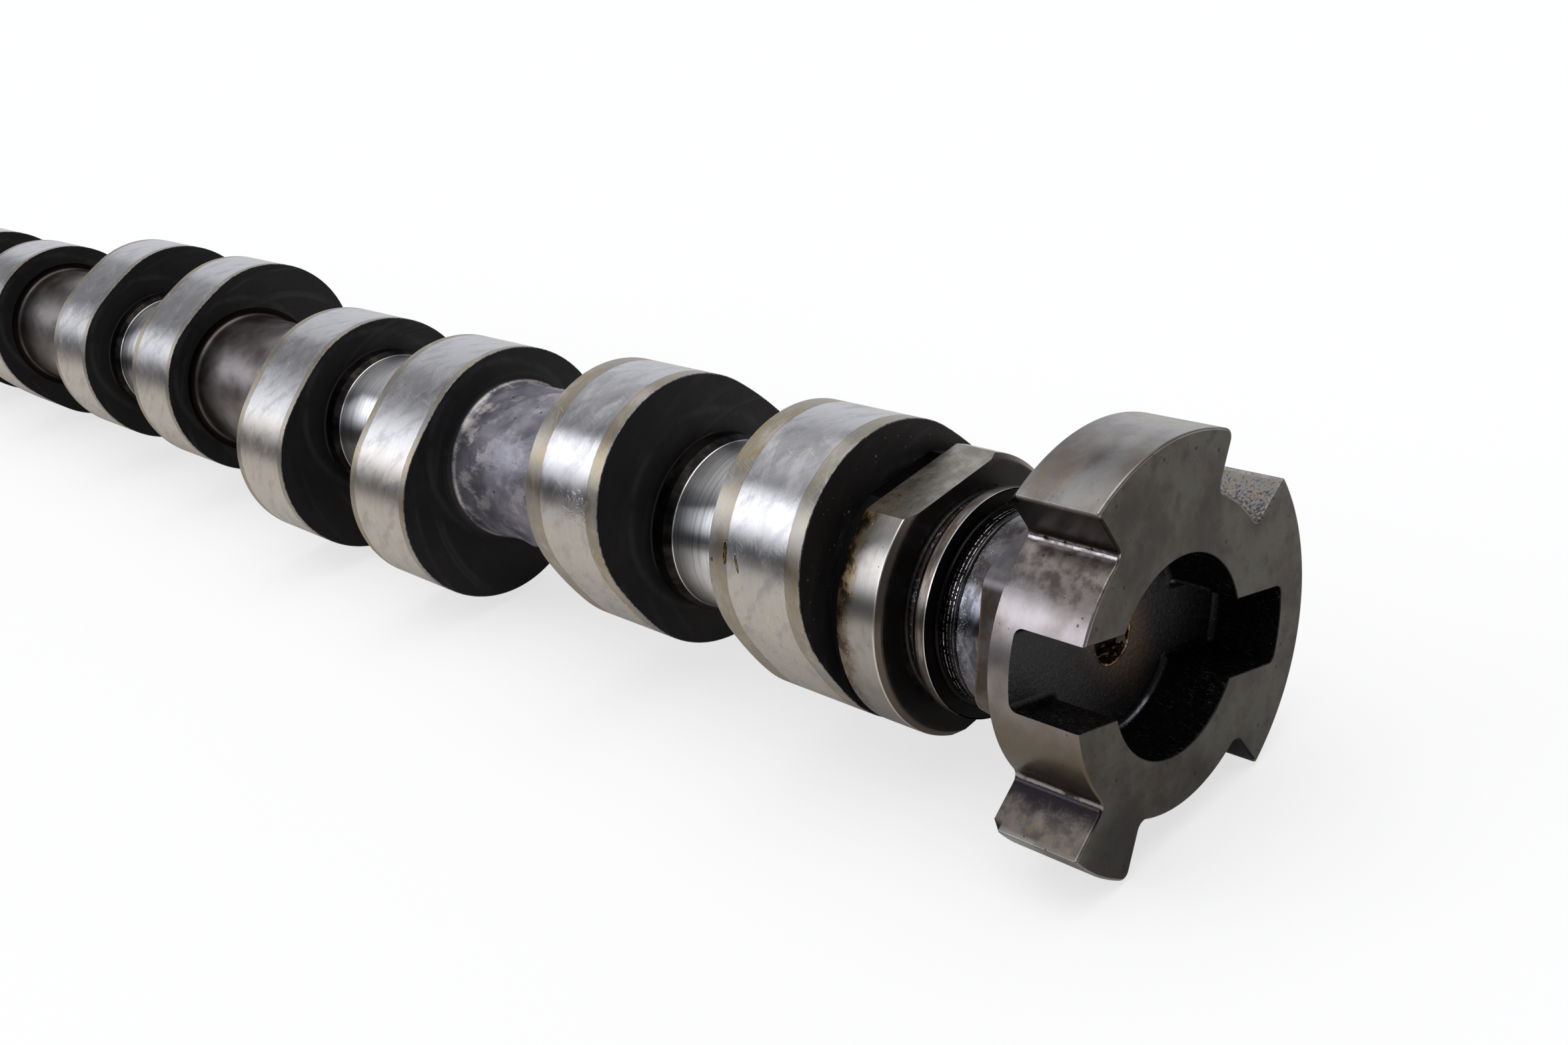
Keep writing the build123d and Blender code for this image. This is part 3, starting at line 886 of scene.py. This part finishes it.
def collar_look():
    """Bare on its rim with a golden stain and oil at the back, painted glints and a painted highlight on that
    stain, painted shade low down, and oily black with painted shade on its front face.
    """
    look = Look("turned_collar")
    lines = grinding(look, 71)
    back = (look.x + look.noise(0.25, 0.5, 3, 72) * 3.4).step(COLLAR_BACK + 4.6, COLLAR_BACK + 2.2)
    oil = back * look.noise(0.6, 0.45, 4, 73).step(0.4, 0.6)
    film = look.noise(0.25, 0.16, 3, 75)
    low = look.z.step(4, -9)
    beads = (look.spots(0.9, 0.16, 0.5, 2) + look.spots(0.45, 0.08, 0.4, 3)) * back
    specks = look.spots(1.6, 0.13, 0.3, 7)
    front = look.x.step(COLLAR_FRONT - 0.25, COLLAR_FRONT - 0.1)
    bevel = look.x.step(COLLAR_FRONT - 0.8, COLLAR_FRONT - 0.68)
    lip = abs(look.x - (COLLAR_FRONT - 0.84)).step(0.16, 0.05)
    inner = (look.out + look.noise(0.8, 0.4, 3, 76) * 2).step(COLLAR_R - 0.6, COLLAR_R + 0.6)
    look.color = look.mix(lines * 0.7, (0.43, 0.415, 0.39), (0.27, 0.255, 0.225))
    look.paint(film.step(0.45, 0.65) * 0.5, (0.21, 0.185, 0.15))
    # painted shade: darker towards the bottom
    look.paint(low * 0.6, (0.2, 0.185, 0.165))
    # the oil stain at the back, with a painted golden highlight higher up, where the light falls
    stain = look.mix(look.z.step(3, 7), (0.13, 0.085, 0.045), (0.5, 0.33, 0.11))
    look.paint(back * 0.75, stain)
    look.paint(oil * 0.85, (0.05, 0.03, 0.016))
    look.paint(specks.most(beads) * 0.8, (0.03, 0.02, 0.012))
    # painted glints: bright specks on the oily back
    look.paint(look.spots(0.6, 0.09, 0.4, 6) * back * 0.9, (0.85, 0.8, 0.72))
    look.paint(bevel, (0.115, 0.095, 0.078))
    look.paint(lip * 0.85, (0.66, 0.62, 0.57))
    # the front face is oily, and painted near-black for the shade between collar and ring
    look.paint(front, look.mix(inner, (0.006, 0.005, 0.005), (0.035, 0.026, 0.02)))
    roughness = look.blend(front, lines * 0.12 + 0.18 - oil * 0.08, 0.34)
    metallic = look.blend(front, 1, 0.55)
    height = lines * 0.4 + oil * 0.3 + beads * 4 + look.noise(1.5, 1.5, 2, 74) * oil * 0.6
    return look.finish(roughness, metallic, height * (1 - front), 0.02, 0.6)


def flat_look():
    look = Look("wrench_flat")
    shade = look.noise(0.5, 0.35, 4, 81)
    oil = (look.x * -0.8 + look.round * -0.55 + shade * 9).step(31.4, 37)
    blot = look.noise(0.7, 0.7, 4, 83).step(0.45, 0.62)
    marks = look.streaks(6, 0.12, 0.36, 62, 82)
    beads = (look.spots(0.8, 0.16, 0.4, 4) + look.spots(0.45, 0.08, 0.35, 5)) * oil
    look.color = look.mix(shade.step(0.35, 0.7), (0.27, 0.245, 0.21), (0.42, 0.395, 0.35))
    look.paint(marks * 0.5, (0.6, 0.57, 0.52))
    look.paint(oil * 0.85, look.mix(blot, (0.165, 0.125, 0.088), (0.07, 0.048, 0.034)))
    look.paint(beads * 0.8, (0.03, 0.02, 0.012))
    # painted shade: near-black where the flat runs into the recess behind the collar
    look.paint(look.x.step(COLLAR_BACK + 0.05, COLLAR_BACK - 0.05), (0.005, 0.004, 0.004))
    roughness = shade * 0.15 + 0.28 - oil * 0.12
    height = shade + beads * 5 + look.noise(1.2, 1.2, 3, 84) * oil * 1.6
    return look.finish(roughness, look.blend(oil, 1, 0.55), height, 0.025)


def groove_look():
    """Oily black of the groove with painted shade, near-black painted shade in the recess, wet specks beside
    the ring painted bright to glint, painted light where the groove rises to the ring, brown on the ring,
    with a bare front edge.
    """
    look = Look("oily_shaded_groove")
    lumps = look.noise(0.9, 0.8, 5, 91)
    rings = look.noise(3, 0.05, 3, 92)
    film = look.noise(0.7, 0.14, 4, 93)
    bare = look.out.step(GROOVE_R + 0.12, GROOVE_R + 0.55) * look.x.step(RING_BACK - 0.3, RING_BACK)
    lip = look.x.step(RING_FRONT - 0.22, RING_FRONT - 0.1) * look.out.step(RING_R - 0.2, RING_R - 0.08)
    # wet specks near the ring's back, made bright and metallic as painted glints
    wet = (look.noise(1.5, 1.2, 4, 94) + look.noise(0.1, 0.12, 1, 95) * 0.5).step(0.82, 0.88)
    wet = wet * abs(look.x - (RING_BACK + 0.15)).step(1.1, 0.4)
    # painted shade: the recess between the collar and the first cam is near-black
    recess = look.x.step(COLLAR_BACK + 0.3, COLLAR_BACK)
    # the groove is oily, and painted near-black for the shade in it
    look.color = look.mix(lumps.step(0.45, 0.65), (0.007, 0.006, 0.006), (0.022, 0.017, 0.016))
    ring = look.mix(film.step(0.4, 0.62), (0.105, 0.078, 0.06), (0.24, 0.215, 0.2))
    ring = look.mix(rings.step(0.5, 0.7) * 0.6, ring, (0.07, 0.055, 0.047))
    # painted light: brown where the groove rises to the ring, as if lit
    beside = (look.x + lumps * 0.5).step(RING_BACK - 0.55, RING_BACK - 0.05)
    look.paint(beside * 0.85, (0.125, 0.096, 0.08))
    look.paint(bare, ring)
    look.paint(lip, (0.6, 0.58, 0.56))
    look.paint(wet * 0.9, (0.55, 0.55, 0.58))
    look.paint(recess, (0.004, 0.0035, 0.0035))
    roughness = look.blend(bare, lumps * 0.12 + 0.16, rings * 0.12 + 0.2)
    roughness = look.blend(recess, look.blend(wet, roughness, 0.12), 0.6)
    metallic = look.blend(bare, 0.5, 1).most(wet)
    height = lumps * look.blend(bare, 2.6, 0.5) + film * 0.6 + rings * 0.5 + wet * 1.5
    return look.finish(roughness, metallic, height, 0.03)


def neck_look():
    """A black wet ring face, rows of turning marks, a cut line and a dark blue wet neck."""
    look = Look("wet_neck")
    face = look.out.step(NECK_R + 0.35, NECK_R + 0.7)
    near = look.x.step(RING_FRONT + 2.7, RING_FRONT + 2.5)
    gap = look.x.step(RING_FRONT + 0.75, RING_FRONT + 0.6)
    comb = look.math("SINE", look.x * (2 * math.pi / 0.55)).step(0.3, 0.9)
    torn = look.noise(0.6, 1.5, 3, 103).step(0.44, 0.54)
    dashes = torn * look.noise(0.9, 0.05, 1, 107).step(0.34, 0.55)
    marks = comb * dashes * (1 - gap)
    wander = look.noise(0.1, 0.25, 2, 108) * 0.3 - 0.15
    groove = abs(look.x - (RING_FRONT + 2.9) + wander).step(0.3, 0.12)
    lines = grinding(look, 101)
    smears = look.noise(0.9, 0.3, 5, 102)
    dark = smears.step(0.38, 0.6)
    high = look.z.step(6.5, 9.5)
    glints = look.noise(3.2, 2.6, 3, 109).step(0.59, 0.66)
    glints = glints * (look.x + smears * 2).step(RING_FRONT + 6.4, RING_FRONT + 4) * (1 - high * 0.6)
    gold = look.noise(1.4, 1.1, 3, 110).step(0.5, 0.7) * high
    look.color = look.mix(dark, (0.19, 0.2, 0.23), (0.075, 0.073, 0.082))
    look.paint(high * 0.8, look.mix(dark, (0.14, 0.135, 0.14), (0.075, 0.068, 0.065)))
    look.paint(glints * 0.85, (0.9, 0.9, 0.97))
    look.paint(gold * 0.35, (0.26, 0.19, 0.1))
    tool = look.mix(marks, (0.012, 0.01, 0.01), (0.62, 0.61, 0.62))
    look.paint(near, tool)
    look.paint(groove * 0.95, (0.006, 0.005, 0.005))
    look.paint(face, (0.006, 0.005, 0.005))
    roughness = look.blend(face, lines * 0.08 + smears * 0.08 + 0.08, 0.3)
    metallic = look.blend(face, 1, 0.5)
    height = lines * 0.6 + smears + marks * near * 4 + glints * 3 - groove * 4
    return look.finish(roughness, metallic, height * (1 - face), 0.012, 0.3)


def block_look():
    """Oily brown on its lower side, grey above, with an orange line along the back edge."""
    look = Look("brown_block")
    shade = look.noise(0.35, 0.25, 4, 111)
    grit = look.noise(1.4, 1.4, 4, 113)
    specks = look.spots(0.9, 0.14, 0.4, 11) + look.spots(0.5, 0.08, 0.35, 12)
    brink = (look.x + look.noise(0.5, 0.5, 3, 112) * 0.4).step(NECK_FRONT + 0.65, NECK_FRONT + 0.25)
    low = look.z.step(12.6, 11.4)
    upper = look.mix(shade.step(0.35, 0.65), (0.098, 0.09, 0.092), (0.135, 0.126, 0.13))
    lower = look.mix((shade + grit * 0.3).step(0.5, 0.8), (0.085, 0.066, 0.052), (0.125, 0.108, 0.105))
    look.color = look.mix(low, upper, lower)
    look.paint(brink * low * 0.7, (0.26, 0.155, 0.075))
    look.paint(specks * 0.6, (0.03, 0.025, 0.02))
    return look.finish(shade * 0.2 + 0.24, 1, shade * 0.8 + grit * 0.4 - specks, 0.02)


def vane_tops(look, cloud, blots):
    """Grey and brown, with one brown and one blue blot on the top vane."""
    color = look.mix(cloud.step(0.38, 0.62), (0.29, 0.28, 0.265), (0.21, 0.18, 0.155))
    color = look.mix(blots.step(0.5, 0.68) * 0.5, color, (0.17, 0.165, 0.175))
    color = look.mix(look.drop(*BROWN_BLOT) * 0.5, color, (0.2, 0.115, 0.055))
    return look.mix(look.drop(*BLUE_BLOT) * 0.5, color, (0.07, 0.072, 0.088))


def vane_roots(look, cloud, blots, high):
    """Bare grey between the vanes, tarnished and darkened with painted shade high up under the top vane, and
    brown below.
    """
    color = look.mix(cloud.step(0.4, 0.75), (0.31, 0.285, 0.285), (0.17, 0.14, 0.125))
    # tarnish and painted shade: darker blotches high up, under the top vane
    tarnish_and_shade = look.mix(blots.step(0.38, 0.62), (0.23, 0.2, 0.18), (0.06, 0.045, 0.04))
    color = look.mix(high * 0.8, color, tarnish_and_shade)
    return look.mix(look.z.step(5, -5) * 0.9, color, (0.122, 0.098, 0.06))


def vane_sides_color(look, grain, blots, holes, notch, bottom):
    """Oily and dark, rough with holes in the notch, paler outwards on the lower vane, and painted shade where
    the sides face down.
    """
    color = look.mix(grain.step(0.35, 0.7), (0.018, 0.014, 0.011), (0.03, 0.023, 0.018))
    rough = look.mix(blots.step(0.4, 0.58), (0.17, 0.17, 0.175), (0.2, 0.175, 0.145))
    rough = look.mix(grain.step(0.55, 0.7) * 0.5, rough, (0.08, 0.075, 0.075))
    color = look.mix(notch, color, look.mix(holes * 0.8, rough, (0.03, 0.027, 0.027)))
    outward = (look.out + grain * 1.5 + blots * 2.5).step(ROOT_R + 3.6, VANE_R - 0.5)
    gold = look.grain(0.5, 4, 128, 0.5).step(0.5, 0.66)
    lower = look.mix(blots.step(0.38, 0.6), (0.115, 0.097, 0.085), (0.185, 0.165, 0.15))
    lower = look.mix(gold * 0.5, lower, (0.27, 0.205, 0.13))
    color = look.mix(bottom, color, look.mix(outward, (0.028, 0.024, 0.028), lower))
    # painted shade: near-black where the sides face down
    shaded_underside = look.z.step(-9, -11) * look.y.step(0, 4)
    return look.mix(shaded_underside, color, (0.006, 0.005, 0.005))


def outer_look():
    """The flange's rim: bare on top of the vanes and between them, oily and dark on the vanes' sides, with a
    painted highlight along the wet root fillets.
    """
    look = Look("flange_rim")
    top = look.out.step(VANE_R - 0.9, VANE_R - 0.3)
    root = look.out.step(ROOT_R + 0.35, ROOT_R + 0.02)
    cloud = look.noise(0.16, 0.13, 4, 121)
    grain = look.grain(3, 4, 122, 3)
    blots = look.grain(0.45, 5, 127, 0.45)
    lines = grinding(look, 123) * top.most(root)
    specks = look.spots(1.5, 0.2, 0.3, 12) + look.spots(0.7, 0.09, 0.3, 17)
    fillet = abs(look.out - (ROOT_R + 0.35) + blots * 0.5 - 0.25).step(0.26, 0.08)
    high = (look.z + blots * 3).step(13.2, 16)
    notch = look.y.step(10, 12) * look.z.step(2, 5)
    upper = look.z.step(13, 15) * look.y.step(5, 0)
    bottom = look.z.step(-9, -11) * look.y.step(4, 0)
    holes = look.grain(2.8, 5, 125, 2.8) + look.out.step(VANE_R, ROOT_R + 1) * 0.12
    holes = holes.step(0.56, 0.72)
    sides = vane_sides_color(look, grain, blots, holes, notch, bottom)
    look.color = look.mix(root, sides, vane_roots(look, cloud, blots, high))
    # painted highlight: a broken light line along the root fillets, where they are wet too
    wet = fillet * blots.step(0.34, 0.5) * upper.most(bottom)
    look.paint(wet * 0.8, (0.46, 0.43, 0.44))
    look.paint(top, vane_tops(look, cloud, blots))
    look.paint(specks * 0.6, (0.03, 0.022, 0.018))
    roughness = cloud * 0.14 + lines * 0.08 + 0.17 + notch * 0.2 - wet * 0.08
    height = lines * 0.25 + grain * 0.15 + cloud * 0.8 - specks + (grain - holes * 1.5) * notch
    height = height + (grain * 0.3 + blots * 1.5) * bottom + blots * high * root * 1.5 + wet * grain * 1.5
    return look.finish(roughness, 1, height, 0.02)


def face_look():
    """The flange's front: grey oxide with brown smears, small dark dots and soot on the lower vane."""
    look = Look("flange_face")
    cloud = look.grain(0.1, 4, 131)
    grain = look.grain(1.4, 3, 132)
    fine = look.grain(5, 3, 135)
    pits = look.spots(1.9, 0.13, 0.3, 13, True) + look.spots(4.7, 0.3, 0.3, 14, True)
    dots = look.spots(0.7, 0.07, 0.25, 15, True)
    smear = look.grain(0.4, 5, 134).step(0.5, 0.72)
    pale = look.grain(0.3, 4, 133).step(0.48, 0.72)
    rust = look.grain(0.2, 5, 136).step(0.52, 0.74)
    violet = look.grain(0.16, 4, 137).step(0.54, 0.72)
    soot = (look.away(*SOOT_AT) + grain * 4).step(11, 5)
    look.color = look.mix(cloud.step(0.38, 0.62), (0.05, 0.045, 0.039), (0.1, 0.096, 0.083))
    look.paint(pale * 0.35, (0.118, 0.11, 0.1))
    look.paint(rust * 0.6, (0.092, 0.062, 0.046))
    look.paint(violet * 0.5, (0.05, 0.045, 0.056))
    look.paint(smear * 0.6, (0.038, 0.032, 0.032))
    look.paint(fine.step(0.55, 0.75) * 0.25, (0.035, 0.03, 0.027))
    look.paint(soot * 0.65, (0.022, 0.019, 0.019))
    look.paint((pits + dots) * 0.75, (0.016, 0.013, 0.012))
    roughness = cloud * 0.15 + grain * 0.1 + 0.3 - soot * 0.08
    height = grain * 0.4 + fine * 0.2 - pits + soot * grain * 1.5
    return look.finish(roughness, 0.85, height, 0.015)


def pocket_look():
    """Oily black walls with wet streaks, and thin painted highlights along the lower curve's foot and one
    corner.
    """
    look = Look("oily_pocket")
    lumps = look.grain(2.2, 5, 141, 2.2)
    streaks = look.grain(3.4, 4, 143, 1.2).step(0.58, 0.68)
    streaks = streaks * look.grain(0.3, 2, 142, 0.3).step(0.4, 0.58)
    beads = look.spots(0.42, 0.06, 0.3, 15) * look.grain(0.3, 2, 144, 0.3).step(0.42, 0.6)
    curve = look.out.step(POCKET_R + 0.2, POCKET_R) * look.z.step(-8.5, -9.5)
    foot = abs(look.x - (FLOOR + 0.45) + lumps * 0.3 - 0.15).step(0.25, 0.08) * look.y.step(5.4, 4)
    foot = foot * curve * look.y.step(-1.5, 0)
    corner = look.away(*CORNER_AT).step(0.42, 0.14) * look.x.step(-3.4, -4.4)
    # painted highlight: the light lines along the lower curve's foot and at the corner
    bright = foot.most(corner * lumps.step(0.35, 0.5))
    look.color = look.mix(lumps.step(0.45, 0.7), (0.005, 0.0045, 0.005), (0.016, 0.014, 0.015))
    look.paint(streaks * 0.6, (0.16, 0.15, 0.16))
    look.paint(bright * 0.8, (0.34, 0.32, 0.34))
    look.paint(beads, (0.45, 0.44, 0.43))
    metallic = streaks.most(beads).most(bright) * 0.3 + 0.65
    height = lumps * 1.6 + streaks + beads
    return look.finish(lumps * 0.2 + 0.16, metallic, height, 0.04)


def floor_look():
    """The recess floor: black and wrinkled, with a brown stain from the centre hole up to the wall."""
    look = Look("recess_floor")
    streak = look.noise(0, 0.75, 3, 151)
    grain = look.grain(1.6, 4, 152)
    wrinkle = look.grain(3.4, 3, 153)
    u, v = look.y + look.z * 0.35 - 1, look.z - 2
    stain = ((u * u + v * v * 0.35).root() + grain * 4).step(9.6, 4)
    beads = look.spots(0.5, 0.07, 0.3, 16, True)
    look.color = look.mix(grain.step(0.42, 0.62), (0.0042, 0.004, 0.0044), (0.014, 0.0135, 0.0145))
    look.paint(wrinkle.step(0.55, 0.7) * 0.5, (0.022, 0.021, 0.022))
    look.paint(stain * 0.9, look.mix(wrinkle.step(0.45, 0.65), (0.135, 0.078, 0.042), (0.06, 0.036, 0.022)))
    look.paint(beads * 0.8, (0.24, 0.23, 0.22))
    height = grain * 2.4 + wrinkle + streak * 0.8 + beads
    return look.finish(grain * 0.2 + 0.3, 0.3, height, 0.05)


def hole_look():
    """Brown oil with golden glints in the holes."""
    look = Look("centre_hole")
    lumps = look.grain(0.8, 3, 161, 0.8)
    glints = look.grain(1, 3, 162, 1).step(0.55, 0.6)
    look.color = look.mix(lumps.step(0.4, 0.62), (0.075, 0.04, 0.018), (0.34, 0.22, 0.1))
    look.paint(glints * 0.55, (0.85, 0.74, 0.58))
    return look.finish(lumps * 0.2 + 0.22, look.blend(glints, 1, 0.4), lumps + glints * 2, 0.04)


def back_look():
    look = Look("flange_back")
    cloud = look.grain(0.3, 4, 171)
    look.color = look.mix(cloud.step(0.35, 0.65), (0.05, 0.043, 0.038), (0.12, 0.11, 0.1))
    return look.finish(cloud * 0.2 + 0.3, 0.9, cloud, 0.03)


LOOKS = [rim_look, edge_look, side_look, journal_look, cast_look, forged_look, collar_look, flat_look,
         groove_look, neck_look, block_look, outer_look, face_look, back_look, pocket_look, floor_look,
         hole_look]
shaft = camshaft().build("camshaft_dressed", [make() for make in LOOKS])
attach(shaft, "root")
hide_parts("camshaft")


# Floor, white to the camera and warmer in the metal, where it darkens away from the shaft
def white_floor():
    look = Look("white_floor")
    seen = look.node("LightPath", output="Is Camera Ray")
    mirrored = look.node("LightPath", output="Is Glossy Ray")
    distance = look.y.step(*FLOOR_FADE)
    warm = look.mix(distance, (0.20, 0.19, 0.18), (0.78, 0.75, 0.705))
    pale = look.mix(seen, (0.9, 0.9, 0.9), (0.9 - 0.86 * FLOOR_GLOW,) * 3)
    look.color = look.mix(mirrored, pale, warm)
    look.finish(0.7, 0.0)
    look.put(look.shader.inputs["Specular IOR Level"], 0.0)
    look.put(look.shader.inputs["Emission Color"], (1, 1, 1))
    look.put(look.shader.inputs["Emission Strength"], look.math("MULTIPLY", seen, FLOOR_GLOW))
    return look.material


bpy.ops.mesh.primitive_plane_add(size=FLOOR_SIZE, location=(0, 0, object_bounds()[0].z))
floor = bpy.context.object
floor.name = "floor"
floor.data.materials.append(white_floor())

# Camera at the photo's place
camera = bpy.data.objects.new("camera", bpy.data.cameras.new("camera"))
bpy.context.scene.collection.objects.link(camera)
roll = Matrix.Rotation(math.radians(LIE - MEASURED_LIE), 3, "X")
right, down, ahead = (roll @ Vector(v) for v in (RIGHT, DOWN, AHEAD))
place = roll @ Vector(CAMERA_FROM_FIRST_CAM) + Vector((CAMS_FRONT, 0, 0))
matrix = Matrix((right, -down, -ahead)).transposed().to_4x4()
matrix.translation = place * MM
camera.matrix_world = matrix
camera.data.sensor_width = 36
camera.data.lens = LENS
camera.data.clip_start = 0.01
bpy.context.scene.camera = camera

# Light: a room with one soft box behind the camera's left, a white backdrop and a bright ceiling
def patch(where, low, high, bottom, top, soft):
    """One where the direction lies between two bearings and two heights, in degrees, with soft edges."""
    bearing, height = where
    across = bearing.step(low - soft, low + soft) * bearing.step(high + soft, high - soft)
    up = height.step(bottom - soft, bottom + soft) * height.step(top + soft, top - soft)
    return across * up


def surroundings():
    world = bpy.data.worlds.new("room")
    world.use_nodes = True
    nodes = Nodes(world.node_tree)
    x, y, z = nodes.split(nodes.node("TexCoord", output="Generated"))
    where = nodes.math("ARCTAN2", y, x) * DEGREES, nodes.math("ARCSINE", z) * DEGREES
    box = patch(where, *BOX) * where[1].step(*BOX_FADE)
    backdrop = patch(where, *BACKDROP)
    gloom = patch(where, *GLOOM)
    upper, ceiling = where[1].step(*UPPER_FADE), where[1].step(*CEILING_FADE)
    level = box * BOX_LEVEL + backdrop * BACKDROP_LEVEL + upper * UPPER_LEVEL + ceiling * CEILING_LEVEL
    level = (level + SKY_LEVEL) * (1 - gloom * GLOOM_SHARE)
    seen = nodes.node("LightPath", output="Is Camera Ray")
    background = world.node_tree.nodes["Background"]
    nodes.put(background.inputs["Color"], nodes.mix(ceiling, SKY_TINT, (1, 1, 1)))
    nodes.put(background.inputs["Strength"], nodes.blend(seen, level, 1.0))
    bpy.context.scene.world = world


surroundings()
bpy.context.scene.view_settings.view_transform = "Standard"
